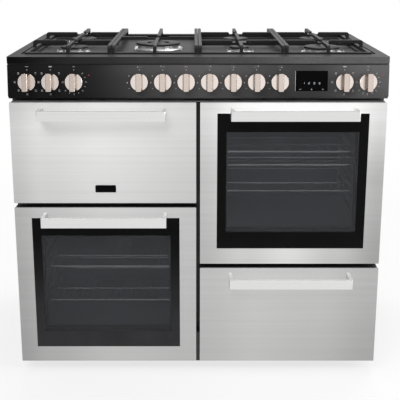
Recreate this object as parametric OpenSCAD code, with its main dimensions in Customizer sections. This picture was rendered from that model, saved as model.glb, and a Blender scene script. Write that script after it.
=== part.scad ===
// Dual fuel range cooker, 100 cm wide: two electric ovens, a grill, a storage drawer and seven gas burners.
// X runs to the cooker's right as its user sees it, Y to the back, Z up. The floor is Z = 0.

/* [Overall] */
// Width across both columns of doors
width = 1000; // [940:10:1100]
// Depth from the door faces to the back edge of the side panels
depth = 600; // [580:5:640]
// Height of the hob rim above the floor, with the feet screwed in
height = 900; // [885:5:940]
// Thickness of the pressed steel sheets
sheet = 1.5; // [1:0.1:2]

/* [Feet] */
// Height of the casing above the floor, with the feet screwed in
foot_h = 33; // [28:1:50]
// How far the feet screw out
foot_travel = 30; // [10:1:30]
// Diameter of a foot's pad
foot_pad_d = 40; // [30:1:44]
// Diameter of a foot's stud
foot_stud_d = 10; // [8:1:12]
// Distance of a foot's axis from the casing's side
foot_inset = 24; // [23:1:26]

/* [Doors and drawer front] */
// Height of the main oven door, lower left
main_door_h = 456; // [420:2:480]
// Height of the drawer front, lower right
drawer_h = 281; // [260:1:300]
// Gap between an upper and a lower front
door_gap = 13; // [12.6:0.1:16]
// Gap between the two columns
centre_gap = 10.6; // [8:0.2:14]
// Thickness of the steel faces
face_t = 2; // [1:0.1:2.4]
// Depth of the folded edge of a steel face
face_edge = 4.6; // [3:0.1:6]
// Thickness of the hollow door bodies behind the faces
body_t = 26.6; // [24:0.2:28]
// How far the raised part of a door's inner panel stands out
liner_raise = 8; // [6:0.1:8.4]

/* [Door glass] */
// Thickness of the glass panes
glass_t = 4; // [3:0.1:4.4]
// Steel left beside the glass
glass_side = 46; // [40:1:60]
// Steel left above the glass
glass_top = 30; // [24:1:50]
// Steel left below the glass
glass_low = 45; // [44:1:60]
// Black border beside the window
window_side = 24; // [20:1:40]
// Black border above the window
window_top = 50; // [40:1:60]
// Black border below the window
window_low = 47; // [40:1:60]

/* [Hinges and seals] */
// Height of a hinge pin above its door's lower edge
pin_up = 18; // [17:0.5:20]
// Distance of a hinge pin behind the door face
pin_back = 23.5; // [22:0.5:23.5]
// Distance from the hinge pins to the front frame
pin_to_frame = 22; // [20.5:0.5:26]
// Diameter of a hinge pin
pin_d = 8; // [6:0.5:9]
// Thickness of a hinge ear
ear_t = 5; // [3:0.5:6]
// Distance of each hinge ear from its door's side edge
ear_inset = 15; // [14:0.5:17]

/* [Handles] */
// Length of a handle
handle_l = 335; // [250:5:400]
// Height of the handle's bar
handle_h = 26; // [16:1:36]
// How far a handle stands out from the door face
handle_reach = 57; // [40:1:60]
// Thickness of the handle's bar and posts
handle_t = 9; // [6:0.5:12]
// Distance from a door's upper edge to its handle
handle_drop = 14; // [5:1:25]

/* [Control panel] */
// Height of the control panel
panel_h = 89.5; // [86:0.5:110]
// Lean of the control panel, in degrees
panel_tilt = 5.5; // [0:0.5:8]
// How far the panel's lower edge stands in front of the doors
panel_proud = 7; // [2:0.5:12]
// Radius of the panel's lower front edge
panel_edge_r = 9; // [4:0.5:12]
// Thickness of the panel
panel_t = 2; // [1.5:0.1:3]
// Gap between the panel and the doors below it
vent_gap = 10.5; // [8:0.5:16]
// Gap between the panel and the hob above it
hob_gap = 3.5; // [2:0.5:8]
// Length of a cooling slot in the vent rail
vent_slot_l = 64; // [40:1:68]
// Distance between the centres of two cooling slots
vent_pitch = 73; // [70:1:80]

/* [Knobs] */
// Diameter of a knob
knob_d = 46; // [36:1:50]
// Height of a knob above its collar
knob_h = 37; // [26:1:44]
// Thickness of the knob's round disc
knob_disc_h = 8; // [5:0.5:12]
// Width of the grip at its front
grip_w = 14.3; // [10:0.1:20]
// Width of the grip at the disc
grip_base_w = 19; // [15:0.5:24]
// Distance between the axes of neighbouring knobs
knob_pitch = 61.4; // [58:0.2:64]
// Height of the knob axes above the panel's lower edge
knob_up = 43.8; // [40:0.1:48]
// Place of the middle burner knob
burner_knob_x = 29.9; // [15:0.1:45]
// Distance of the outermost oven knob on the left from the panel's end
left_knob_inset = 51.4; // [45:0.1:60]
// Distance of the outermost oven knob on the right from the panel's end
right_knob_inset = 55.6; // [50:0.1:64]
// Diameter of a knob's spindle
spindle_d = 6; // [5:0.5:8]

/* [Clock] */
// Width of the clock's window
clock_w = 84; // [60:1:90]
// Height of the clock's window
clock_h = 52.5; // [40:0.5:60]
// Distance of the clock's centre from the middle between its neighbouring knobs
clock_shift = -1.25; // [-3:0.05:3]

/* [Hob] */
// Height of the hob's edge
trim_h = 17.5; // [14:0.5:24]
// Width of the rim along the front
rim_front = 52; // [40:1:60]
// Width of the rim along the back
rim_back = 57; // [40:1:70]
// Width of the rim along the sides
rim_side = 24; // [16:1:34]
// Width of the ledge round the well
ledge_w = 30; // [20:1:36]
// Depth of the ledge below the rim
ledge_drop = 4; // [2:0.5:6]
// Depth of the well below the rim
well_drop = 10; // [8:0.5:13]

/* [Burners] */
// Diameter of the small burner's cap
small_cap_d = 55; // [45:1:60]
// Diameter of a middle burner's cap
middle_cap_d = 75; // [65:1:80]
// Diameter of the large burner's cap
large_cap_d = 100; // [85:1:104]
// Diameter of the wok burner's outer cap
wok_cap_d = 128; // [110:1:134]
// Distance of the front burners behind the door faces
burner_front = 186; // [176:1:196]
// Distance of the rear burners behind the door faces
burner_rear = 410; // [400:1:420]

/* [Pan supports] */
// Distance from the outer pan supports to the cooker's sides
support_side = 36; // [34:0.5:50]
// Width of a cast bar
bar_w = 9.5; // [7:0.5:11]
// Height of a cast bar
bar_h = 10; // [8:0.5:11]
// Height of the pan plane above the hob rim
support_up = 24; // [22:0.5:32]
// Clear radius that the fingers leave over a burner's middle
finger_gap = 20; // [12:1:30]

/* [Ovens] */
// Width inside the ovens and the grill compartment
oven_w = 400; // [380:2:406]
// Depth inside the ovens
oven_d = 410; // [380:5:430]
// Depth inside the grill compartment
grill_d = 390; // [360:5:430]
// Distance from a glazed door's lower edge to the oven floor
oven_low = 62; // [56:1:70]
// Distance from the oven ceiling to a glazed door's upper edge
oven_high = 59; // [50:1:66]
// Distance from the grill door's lower edge to the compartment's floor
grill_low = 50; // [46:1:60]
// Distance from the compartment's ceiling to the grill door's upper edge
grill_high = 37; // [32:1:44]
// Depth of the chamber behind a fan cover
fan_chamber = 34; // [30:1:44]
// Radius of a fan
fan_r = 62; // [50:1:70]
// Height of the lowest shelf guide above the main oven's floor
main_guide_z = 56.8; // [44:0.1:60]
// Distance from the main oven's ceiling down to its highest shelf guide
main_guide_top = 106.2; // [90:0.1:110]
// Height of the lowest shelf guide above the fan oven's floor
fan_guide_z = 48; // [40:0.1:56]
// Distance from the fan oven's ceiling down to its highest shelf guide
fan_guide_top = 95; // [90:0.1:110]
// Distance between neighbouring wires of a shelf
wire_pitch = 28; // [20:1:34]
// Distance between neighbouring wires of the fine shelf
fine_pitch = 18; // [14:1:24]
// Diameter of a shelf's frame wire
frame_wire_d = 6; // [5:0.5:7]

/* [Storage drawer] */
// How far the drawer pulls out
drawer_travel = 300; // [250:5:310]
// Depth of the drawer box behind its front
drawer_d = 420; // [400:5:450]
// Width of the drawer box
drawer_w = 416; // [400:1:420]
// Height of the drawer box
drawer_box_h = 178; // [140:2:200]
// Height of the drawer box above its front's lower edge
drawer_box_up = 29; // [24:1:34]

/* [Hidden] */

// Clearances and small fits
run_gap = 0.05;     // running fit of a shaft or spindle, on the radius
seat_gap = 0.3;     // small gap at a curved or soft seat
fold_gap = 0.2;     // between two panels that are screwed together
slide_gap = 0.3;    // round a sliding runner
swing_gap = 1;      // beside and round a hinge ear

// Places along Y, from the front to the back
y_face = (handle_reach - depth) / 2;
y_rear = y_face + depth;
y_frame = y_face + pin_back + pin_to_frame;
y_inside = y_frame + sheet;
rear_recess = 45;
y_rear_panel = y_rear - rear_recess;

// Casing
side_fold = 20;           // width of the side panels' folded edges
panel_back = 90;          // depth of the control panel's moulding
panel_flange = 16;        // depth of the strip that closes its top
low_fold = 12;            // the same along the floor, clear of the feet's studs
tray_fold = 25;           // height of the base tray's rear edge
bush_h = 20;              // height of a foot's threaded bush
bush_wall = 5;
bracket_in = 28;          // reach of a bush's plate towards the middle
bracket_w = 28;
foot_front = 50;          // distance of the front feet behind the front frame
foot_rear = 50;           // distance of the rear feet in front of the rear panel
louvre_rows = 5;
louvre_l = 180;
louvre_h = 5;
louvre_pitch = 16;
louvre_top = 55;          // distance of the highest louvre below the hob's edge
rib_w = 4.4;              // rib of the front frame that shows in the middle gap
rib_d = 12;
slots_each = 4;           // cooling slots on each side of the middle
vent_middle = 33;         // half the plain length in the middle, less half a slot's margin
vent_slot_d = 12;
vent_up = 2;              // height of the vent rail above the doors

// Places along Z, from the hob down
z_trim = height - trim_h;
z_panel = z_trim - hob_gap - panel_h;
z_door_top = z_panel - vent_gap;
z_ledge = height - ledge_drop;
z_well = height - well_drop;

// The four fronts: centre along X, lower edge, height
door_w = (width - centre_gap) / 2;
column_x = (centre_gap + door_w) / 2;
MAIN = [-column_x, foot_h, main_door_h];
GRILL = [-column_x, foot_h + main_door_h + door_gap, z_door_top - foot_h - main_door_h - door_gap];
FAN = [column_x, foot_h + drawer_h + door_gap, z_door_top - foot_h - drawer_h - door_gap];
DRAWER = [column_x, foot_h, drawer_h];

// The three compartments: centre along X, floor, height, depth
MAIN_OVEN = [MAIN[0], MAIN[1] + oven_low, MAIN[2] - oven_low - oven_high, oven_d];
FAN_OVEN = [FAN[0], FAN[1] + oven_low, FAN[2] - oven_low - oven_high, oven_d];
GRILL_SPACE = [GRILL[0], GRILL[1] + grill_low, GRILL[2] - grill_low - grill_high, grill_d];

// Door construction
face_corner_r = 2;
glass_inset = face_edge - glass_t;
glass_gap = 0.4;
glass_w = door_w - 2 * glass_side;
window_w = glass_w - 2 * window_side;
body_back = face_edge + body_t;
body_in = 1.5;            // how far a door's body is smaller than its face
liner_in = 6;             // the same for its inner panel
window_lap = 4;           // how far the window's edge lies behind the black border
pane_gap = 2;             // round the inner pane
liner_front = body_back + fold_gap;
liner_back = liner_front + sheet + liner_raise;
liner_over = 18;          // how far the raised part laps past the oven mouth
liner_window_in = 5;      // how far the inner window is smaller than the outer one
inner_glass_lap = 12;     // how far the inner pane laps behind its opening
seal_t = y_frame - y_face - liner_back;
seal_in = 4;
seal_w = 8;
ear_r = 8;
lug_w = 8.5;
hinge_x = door_w / 2 - ear_inset;
hinge_wide = ear_t / 2 + swing_gap + lug_w;   // from a hinge's middle to the outside of its lugs

// Control panel
panel_dip = panel_edge_r * sin(panel_tilt);   // keeps the leaning panel's lowest point at its lower edge
panel_len = (panel_h - panel_dip) / cos(panel_tilt);
collar_r = knob_d / 2 + 3;
collar_h = 1.5;
knob_gap = collar_h + 0.5;
spindle_out = 22;
spindle_in = 34;
tap_front = 14;
tap_size = [26, 32, 30];
switch_size = [40, 40, 32];
rail_r = 9;
clock_up = 46.6;
clock_depth = 26;
clock_lip = 4;            // how far the electronics box is larger than the window
burner_knobs = 7;
left_knobs = 3;
right_knobs = 2;
knob_count = burner_knobs + left_knobs + right_knobs;

// How far the hob's edge stands in front of the doors
hob_proud = 3;

// Distance between the centres of neighbouring pan supports
support_pitch = (width - 2 * support_side) / 4;

// Burners: X in support pitches, distance behind the door faces, cap diameter; in the order of their knobs
burner_middle = (burner_front + burner_rear) / 2 - 15;
BURNERS = [
    [-1.5, burner_front, middle_cap_d], [-1.5, burner_rear, middle_cap_d], [-0.5, burner_middle, wok_cap_d],
    [0.5, burner_rear, middle_cap_d], [0.5, burner_front, small_cap_d],
    [1.5, burner_rear, middle_cap_d], [1.5, burner_front, large_cap_d]
];
WOK = 2;
flange_h = 2;
crown_h = 9;
cap_h = 6;
cup_depth = 30;
pipe_r = 4;
plug_r = 3;
plug_out = 16;            // distance of a spark plug from the edge of its burner's cap

// Pan supports
support_front = rim_front + 4;
support_rear = depth - rim_back - 4;
support_w = support_pitch - 1;
support_h = support_up + ledge_drop;
low_bar_h = 9;
tip_h = 8;

// Ovens
guide_d = 5;
guide_wall = 8;           // distance of the guide rods from the oven wall
shelf_depth = 345;
shelf_front = 18;         // distance of a shelf's front wire behind the oven mouth
MAIN_SHELVES = [1, 4];    // guides that carry the shelves, counted from 0 at the lowest
FAN_SHELVES = [2, 4, 5];
guide_count = 6;
guide_l = 330;
ring_out = 20;            // distance of a ring element from its fan's edge
ring_up = 16;             // height of the ring element in front of the oven's back wall
ring_spacing = 24;        // between its two tails
tube_r = 3.2;
lamp_out = 130;           // distance of a lamp from the middle of its oven
lamp_in = 62;             // distance of a lamp in front of the oven's back wall
tail_r = tube_r - 0.4;
shaft_r = 4;
main_guide_pitch = (MAIN_OVEN[2] - main_guide_z - main_guide_top) / (guide_count - 1);
fan_guide_pitch = (FAN_OVEN[2] - fan_guide_z - fan_guide_top) / (guide_count - 1);

wire_r = 1.7;

// Grill compartment
pan_up = 63.5;            // height of the pan's rim above the compartment's floor
pan_deep = 38;
ledge_out = 12;           // how far the ledges that carry the pan stand out
ledge_start = 15;         // distance of the ledges behind the front frame
ledge_l = 325;
trivet_drop = 8;
trivet_pitch = 22;
trivet_r = 2.5;
grill_spacing = 74;       // between the grill's rods
grill_drop = 22;          // distance of the rods below the ceiling

// Supplies at the back
terminal_in = 180;        // distance of the terminal box's middle from the cooker's left side
terminal_up = 130;
terminal_w = 130;
terminal_h = 90;
terminal_deep = 40;
terminal_wall = 3;
cable_hole_r = 8;
inlet_in = 120;           // distance of the gas inlet from the cooker's right side
inlet_down = 90;          // distance of its elbow below the hob's edge
inlet_r = 10.5;
inlet_l = 18;
inlet_out = 24;           // distance of the gas inlet's axis behind the rear panel

// Storage drawer
runner_h = 28;
runner_w = 10;
runner_up = drawer_box_up + 70;
drawer_back = drawer_d + pin_back + pin_to_frame - sheet;

steel = "silver";
black = "#1c1c1e";
dark = "#2e2e31";
enamel = "#2a2c30";
glass = "#202226";
rose = "#d9c6b8";
chromed = "#c9ccd0";
alu = "#b9bcc0";
zinc = "#9aa0a6";
brassy = "#b5985a";
rubbery = "#3a3a3a";
ceramic = "#e8e4da";

function bottom(front) = front[1];
function tall(front) = front[2];
function arc(centre, r, from, to, steps = 6) =
    [for (i = [0 : steps]) let (a = from + (to - from) * i / steps) centre + r * [cos(a), sin(a)]];
function burner_at(i) = [BURNERS[i][0] * support_pitch, y_face + BURNERS[i][1]];
function knob_x(i) =
    i < burner_knobs ? burner_knob_x + (i - (burner_knobs - 1) / 2) * knob_pitch
    : i < burner_knobs + left_knobs ? left_knob_inset - width / 2 + (i - burner_knobs) * knob_pitch
    : width / 2 - right_knob_inset - (knob_count - 1 - i) * knob_pitch;

// Place of the clock's centre along X
clock_x = (knob_x(burner_knobs - 1) + knob_x(knob_count - right_knobs)) / 2 + clock_shift;

// A box between two opposite corners
module block(low, high) {
    translate(low) cube(high - low);
}

// A rectangle with round corners, between two opposite corners
module round_rect(low, high, r) {
    translate(low + [r, 0]) square(high - low - [2 * r, 0]);
    translate(low + [0, r]) square(high - low - [0, 2 * r]);
    for (x = [low[0] + r, high[0] - r], y = [low[1] + r, high[1] - r])
        translate([x, y]) circle(r);
}

// A flat shape drawn in X and Z, made solid from y0 back to y1
module plate_xz(y0, y1) {
    translate([0, y1, 0]) rotate([90, 0, 0]) linear_extrude(y1 - y0) children();
}

// A section drawn in Y and Z, made solid from x0 to x1
module bar_yz(x0, x1) {
    translate([x0, 0, 0]) rotate([90, 0, 90]) linear_extrude(x1 - x0) children();
}

// A round rod between two points
module rod(from, to, r) {
    run = to - from;
    length = norm(run);
    turn = atan2(run[1], run[0]);
    lean = acos(run[2] / length);
    translate(from) rotate([0, lean, turn]) cylinder(r = r, h = length);
}

// A wire between two points, with eight sides
module wire(from, to, r) {
    rod(from, to, r, $fn = 8);
}

// Puts children on a front: X from its centre, Y back from its face, Z up from its lower edge
module on_front(front) {
    translate([front[0], y_face, bottom(front)]) children();
}

// Puts children on the sloping panel: Y in from its face, Z up along it from its lower edge
module on_panel() {
    translate([0, y_face - panel_proud, z_panel + panel_dip]) rotate([-panel_tilt, 0, 0]) children();
}

// Puts children on a knob's axis: Z out of the panel, Y up along it
module on_knob(i) {
    on_panel() translate([knob_x(i), 0, knob_up]) rotate([90, 0, 0]) children();
}

// Side panels with folded edges, and the rear panel with its louvres
module outer_panels() {
    color(black) for (side = [0, 1]) mirror([side, 0, 0]) {
        block([width / 2 - sheet, y_inside, foot_h], [width / 2, y_rear, z_trim]);
        block([width / 2 - side_fold, y_rear - sheet, foot_h], [width / 2, y_rear, z_trim]);
        block([width / 2 - side_fold, y_inside, z_trim - sheet], [width / 2, y_rear, z_trim]);
        block([width / 2 - low_fold, y_inside, foot_h], [width / 2, y_rear, foot_h + sheet]);
    }
    color(zinc) difference() {
        block([-width / 2 + sheet + fold_gap, y_rear_panel - sheet, foot_h + sheet + fold_gap],
              [width / 2 - sheet - fold_gap, y_rear_panel, z_trim - sheet - fold_gap]);
        for (column = [-1, 1], row = [0 : louvre_rows - 1])
            translate([column * column_x, y_rear_panel, z_trim - louvre_top - louvre_pitch * row])
                block([-louvre_l / 2, -2 * sheet, -louvre_h], [louvre_l / 2, sheet, 0]);
    }
}

// Floor of the casing, with a bush for each foot
module base_tray() {
    half = width / 2 - low_fold - fold_gap;
    color(zinc) difference() {
        union() {
            block([-half, y_inside, foot_h], [half, y_rear_panel - sheet, foot_h + sheet]);
            block([-half, y_rear_panel - 2 * sheet, foot_h],
                  [half, y_rear_panel - sheet, foot_h + sheet + tray_fold]);
            at_feet() translate([0, 0, foot_h + sheet]) {
                cylinder(d = foot_stud_d + 2 * bush_wall, h = bush_h - sheet);
                block([-bracket_in, -bracket_w / 2, 0],
                      [foot_inset - low_fold - fold_gap, bracket_w / 2, sheet]);
            }
        }
        at_feet() translate([0, 0, foot_h - 1]) cylinder(r = foot_stud_d / 2 + 2 * run_gap, h = bush_h + 2);
    }
}

// The four places of the feet, each mirrored so that its own +X points outwards
module at_feet() {
    for (side = [0, 1], y = [y_inside + foot_front, y_rear_panel - foot_rear])
        mirror([side, 0, 0]) translate([width / 2 - foot_inset, y, 0]) children();
}

// Four levelling feet: a pad, a hexagon for the spanner and a stud
module levelling_feet() {
    color(rubbery) at_feet() {
        cylinder(d1 = foot_pad_d, d2 = foot_pad_d - 6, h = 5);
        cylinder(d = foot_pad_d - 14, h = 9);
        cylinder(d = 19, h = 15, $fn = 6);
        cylinder(d = foot_stud_d, h = foot_h + bush_h + foot_travel);
    }
}

// The outline of a compartment's mouth
module mouth(space, grow = 0) {
    translate([space[0] - oven_w / 2 - grow, space[1] - grow])
        square([oven_w + 2 * grow, space[2] + 2 * grow]);
}

// Front frame: one sheet with four mouths, and a rib down the middle gap
module front_frame() {
    color(black) {
        difference() {
            block([-width / 2, y_frame, foot_h], [width / 2, y_inside, z_panel]);
            plate_xz(y_frame - 1, y_inside + 1) {
                mouth(MAIN_OVEN);
                mouth(FAN_OVEN);
                mouth(GRILL_SPACE);
                drawer_mouth();
            }
        }
        block([-rib_w / 2, y_frame - rib_d, foot_h + 4], [rib_w / 2, y_frame, z_door_top - 4]);
    }
}

// The drawer's mouth, with a notch each side for the runners
module drawer_mouth() {
    half = drawer_w / 2 + 3;
    notch = drawer_w / 2 + runner_w + 5;
    translate([DRAWER[0], DRAWER[1]]) {
        translate([-half, drawer_box_up - 6]) square([2 * half, drawer_box_h + 12]);
        translate([-notch, runner_up - 3]) square([2 * notch, runner_h + 6]);
    }
}

// Vent rail above the doors, with eight cooling slots
module vent_rail() {
    half = width / 2 - 8;
    low = z_door_top + vent_up;
    color(dark) difference() {
        union() {
            block([-half, y_face + 3, low], [half, y_frame, low + sheet]);
            block([-half, y_frame - sheet, low], [half, y_frame, z_panel]);
        }
        for (side = [-1, 1], i = [0 : slots_each - 1])
            translate([side * (vent_pitch * (i + 0.5) + vent_middle), y_face + vent_slot_d, low - 1])
                block([-vent_slot_l / 2, 0, 0], [vent_slot_l / 2, vent_slot_d, sheet + 2]);
    }
}

// Section of the control panel, grown inwards by a wall
module panel_section(wall) {
    top = panel_len + (wall > 0 ? 1 : 0);
    rise = (panel_back - panel_edge_r) * tan(panel_tilt);
    polygon(concat([[panel_back, wall + rise]],
                   arc([panel_edge_r, panel_edge_r], panel_edge_r - wall, 270, 180, 8),
                   [[wall, top], [panel_back, top]]));
}

// Control panel: a sloping moulding, open at the back and the top, with a collar round each knob
module control_panel() {
    color(black) difference() {
        union() {
            on_panel() difference() {
                bar_yz(-width / 2, width / 2) panel_section(0);
                bar_yz(-width / 2 + panel_t, width / 2 - panel_t) panel_section(panel_t);
                for (side = [0, 1]) mirror([side, 0, 0]) panel_corner_cut();
            }
            on_panel() block([panel_t - width / 2, 0, panel_len - panel_t],
                             [width / 2 - panel_t, panel_flange, panel_len]);
            for (i = [0 : knob_count - 1])
                on_knob(i) cylinder(r1 = collar_r, r2 = collar_r - 1, h = collar_h);
        }
        block([-width, y_inside, z_panel - 50], [width, y_rear, height]);
        for (i = [0 : knob_count - 1])
            on_knob(i) translate([0, 0, -panel_t - 1]) cylinder(r = spindle_d / 2 + 2, h = panel_t + 4);
        on_panel() plate_xz(-1, panel_t + 1) translate([clock_x, clock_up])
            square([clock_w + 2 * seat_gap, clock_h + 2 * seat_gap], center = true);
    }
}

// Rounds a lower front corner of the panel, seen from the front
module panel_corner_cut() {
    r = 8;
    plate_xz(-1, panel_edge_r) difference() {
        translate([width / 2 - r, -1]) square([r + 1, r + 1]);
        translate([width / 2 - r, r]) circle(r);
    }
}

// Clock: a window in the panel and its electronics box behind
module clock_display() {
    color(glass) on_panel() translate([clock_x, 0, clock_up]) {
        block([-clock_w / 2, -0.5, -clock_h / 2], [clock_w / 2, panel_t, clock_h / 2]);
        block([-clock_w / 2 - clock_lip, panel_t, -clock_h / 2 - clock_lip],
              [clock_w / 2 + clock_lip, clock_depth, clock_h / 2 + clock_lip]);
    }
}

// A knob and the spindle that it turns
module knob(i) {
    on_knob(i) {
        color(rose) difference() {
            translate([0, 0, knob_gap]) {
                cylinder(d = knob_d, h = knob_disc_h - 1);
                translate([0, 0, knob_disc_h - 1]) cylinder(d1 = knob_d, d2 = knob_d - 2, h = 1);
                intersection() {
                    cylinder(d = knob_d, h = knob_h);
                    translate([0, knob_d / 2, 0]) rotate([90, 0, 0]) linear_extrude(knob_d) polygon([
                        [-grip_base_w / 2, 0], [grip_base_w / 2, 0], [grip_base_w / 2, knob_disc_h],
                        [grip_w / 2, knob_h - 1], [grip_w / 2 - 1, knob_h],
                        [1 - grip_w / 2, knob_h], [-grip_w / 2, knob_h - 1], [-grip_base_w / 2, knob_disc_h]
                    ]);
                }
            }
            cylinder(r = spindle_d / 2 + run_gap, h = spindle_out + 1);
        }
        color(zinc) translate([0, 0, -spindle_in]) cylinder(d = spindle_d, h = spindle_in + spindle_out);
    }
}

// Gas rail with seven taps, and the pipe from each tap to its burner
module gas_manifold() {
    tap_back = tap_front + tap_size[2];
    rail = [y_face + 58, z_panel + knob_up - 4];
    pipe_z = z_well - cup_depth + pipe_r;
    color(brassy) difference() {
        union() {
            rod([-width / 2 + sheet, rail[0], rail[1]], [width / 2 - sheet, rail[0], rail[1]], rail_r);
            for (i = [0 : burner_knobs - 1]) {
                on_knob(i) translate([0, 0, -tap_back])
                    block([-tap_size[0] / 2, -tap_size[1] / 2, -12],
                          [tap_size[0] / 2, tap_size[1] / 2, tap_size[2]]);
                feed_pipe([knob_x(i), y_face + 40], burner_at(i), cup_r(i), pipe_z);
            }
        }
        for (i = [0 : burner_knobs - 1])
            on_knob(i) translate([0, 0, -spindle_in - 1])
                cylinder(r = spindle_d / 2 + run_gap, h = spindle_in);
    }
}

// A feed pipe: up from the tap, then straight to the side of the burner's cup
module feed_pipe(start, end, cup, z) {
    run = end - start;
    reach = norm(run) - cup - seat_gap;
    stop = start + run * reach / norm(run);
    rod([start[0], start[1], z_panel + knob_up], [start[0], start[1], z], pipe_r);
    translate([start[0], start[1], z]) sphere(pipe_r + 1.2);
    rod([start[0], start[1], z], [stop[0], stop[1], z], pipe_r);
}

// Five switch bodies behind the oven knobs
module oven_switches() {
    color(ceramic) for (i = [burner_knobs : knob_count - 1]) on_knob(i)
        difference() {
            translate([0, 0, -panel_t]) block([-switch_size[0] / 2, -switch_size[1] / 2, -switch_size[2]],
                                              [switch_size[0] / 2, switch_size[1] / 2, 0]);
            translate([0, 0, -spindle_in - 2 * panel_t])
                cylinder(r = spindle_d / 2 + run_gap, h = spindle_in + 3 * panel_t);
        }
}

// Corners of the hob's outline, drawn in by a distance on each side
module hob_outline(front, back, side, r) {
    round_rect([-width / 2 + side, y_face + front], [width / 2 - side, y_rear - back], r);
}

// Hob: a frame with its rim, skirt and ledge for the pan supports, and the floor of the well under it
module hob_tray() {
    outer_r = 5;
    rim_r = 16;
    well_r = 14;
    lap = 8;
    color(black) difference() {
        union() {
            difference() {
                translate([0, 0, z_trim]) linear_extrude(trim_h) hob_outline(-hob_proud, 0, 0, outer_r);
                translate([0, 0, z_trim - 1]) linear_extrude(trim_h + 1 - sheet)
                    hob_outline(sheet - hob_proud, sheet, sheet, outer_r - sheet);
            }
            translate([0, 0, z_ledge - sheet]) linear_extrude(ledge_drop)
                hob_outline(rim_front - sheet, rim_back - sheet, rim_side - sheet, rim_r + sheet);
            translate([0, 0, z_well + fold_gap]) linear_extrude(well_drop - ledge_drop - sheet)
                well_outline(-sheet, well_r + sheet);
        }
        translate([0, 0, z_ledge]) linear_extrude(ledge_drop + 1)
            hob_outline(rim_front, rim_back, rim_side, rim_r);
        translate([0, 0, z_well - 1]) linear_extrude(well_drop + 2) well_outline(0, well_r);
    }
    color(black) difference() {
        translate([0, 0, z_well - sheet]) linear_extrude(sheet) well_outline(-lap, well_r + lap);
        for (i = [0 : len(BURNERS) - 1]) at_burner(i) {
            translate([0, 0, -5]) cylinder(r = cup_r(i) + seat_gap, h = 10);
            at_plug(i) translate([0, 0, -5]) cylinder(r = plug_r + 0.5, h = 10);
        }
    }
}

// Outline of the well, drawn in by a distance
module well_outline(inset, r) {
    hob_outline(rim_front + ledge_w + inset, rim_back + ledge_w + inset, rim_side + ledge_w + inset, r);
}

function cap_r(i) = BURNERS[i][2] / 2;
function cup_r(i) = cap_r(i) * 0.72;

// Puts children on a burner's axis, at the floor of the well
module at_burner(i) {
    translate([burner_at(i)[0], burner_at(i)[1], z_well]) children();
}

// Puts children on a burner's spark plug, between two fingers of the pan support
module at_plug(i) {
    rotate(-32) translate([cap_r(i) + plug_out, 0, 0]) children();
}

// Burner crowns: a cup under the tray, a flange on it and a crown of flame slots
module burner_crowns() {
    color(alu) for (i = [0 : len(BURNERS) - 1]) at_burner(i) {
        translate([0, 0, -cup_depth]) cylinder(r = cup_r(i), h = cup_depth);
        cylinder(r1 = cap_r(i) + 8, r2 = cap_r(i) + 6, h = flange_h);
        if (i == WOK) {
            crown(cap_r(i) - 4, 36, cap_r(i) * 0.52);
            crown(cap_r(i) * 0.32, 12, 0);
        } else {
            crown(cap_r(i) - 4, round(cap_r(i) / 2) * 2 - 8, 0);
        }
    }
}

// A ring of flame slots between an outer and an inner radius
module crown(r, slots, inner_r) {
    slot_h = crown_h / 2;
    translate([0, 0, flange_h]) difference() {
        union() {
            cylinder(r = r, h = crown_h - slot_h);
            translate([0, 0, crown_h - slot_h - 0.5]) linear_extrude(slot_h + 0.5) toothed(r - 0.3, slots);
        }
        if (inner_r > 0) translate([0, 0, -1]) cylinder(r = inner_r, h = crown_h + 2);
    }
}

// Outline of a crown, with a notch for each flame slot
module toothed(r, slots) {
    slot_w = 1.8;
    slot_depth = 5;
    half = asin(slot_w / 2 / r);
    step = 360 / slots;
    tooth = [[r, half], [r, step - half], [r - slot_depth, step - half], [r - slot_depth, step + half]];
    polygon([for (k = [0 : slots - 1], p = tooth) p[0] * [cos(k * step + p[1]), sin(k * step + p[1])]]);
}

// Burner caps: discs with a rounded edge, and a ring with a small disc on the wok burner
module burner_caps() {
    color(black) for (i = [0 : len(BURNERS) - 1]) at_burner(i) translate([0, 0, flange_h + crown_h]) {
        if (i == WOK) {
            cap(cap_r(i), cap_r(i) * 0.5);
            cap(cap_r(i) * 0.36, 0);
        } else {
            cap(cap_r(i), 0);
        }
    }
}

// One cap between an outer and an inner radius
module cap(r, inner_r) {
    edge = cap_h / 2;
    rotate_extrude() polygon(concat(
        [[inner_r, 0], [r - 1, 0], [r, 1]],
        arc([r - edge, cap_h - edge], edge, 0, 90, 5),
        inner_r > 0 ? arc([inner_r + edge, cap_h - edge], edge, 90, 180, 5) : [[0, cap_h]]
    ));
}

// A spark plug beside each burner: a ceramic sleeve and its wire tip
module spark_plugs() {
    color(ceramic) for (i = [0 : len(BURNERS) - 1]) at_burner(i) at_plug(i) {
        translate([0, 0, -20]) cylinder(r = plug_r, h = 26);
        translate([0, 0, -sheet - 2]) cylinder(r = plug_r + 3, h = 2);
        cylinder(r = 1, h = 10);
    }
}

// Outline of a finger, with or without a leg at its outer end: length along X, height along Y
module finger_outline(length, leg) {
    bend = 8;
    inner = 4;
    top = support_h;
    under = support_h - bar_h;
    tip = [[length - 3, top], [length, top - 3], [length, top - tip_h]];
    polygon(leg
        ? concat([[0, 0]], arc([bend, top - bend], bend, 180, 90, 5), tip, [[bar_w + 14, under]],
                 arc([bar_w + inner, under - inner], inner, 90, 180, 3), [[bar_w, 0]])
        : concat([[0, under], [0, top]], tip));
}

// Outline of a high bar with a leg at both ends
module bridge_outline(length) {
    bend = 8;
    inner = 4;
    top = support_h;
    under = support_h - bar_h;
    polygon(concat(
        [[0, 0]], arc([bend, top - bend], bend, 180, 90, 5),
        arc([length - bend, top - bend], bend, 90, 0, 5), [[length, 0], [length - bar_w, 0]],
        arc([length - bar_w - inner, under - inner], inner, 0, 90, 3),
        arc([bar_w + inner, under - inner], inner, 90, 180, 3), [[bar_w, 0]]
    ));
}

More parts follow.
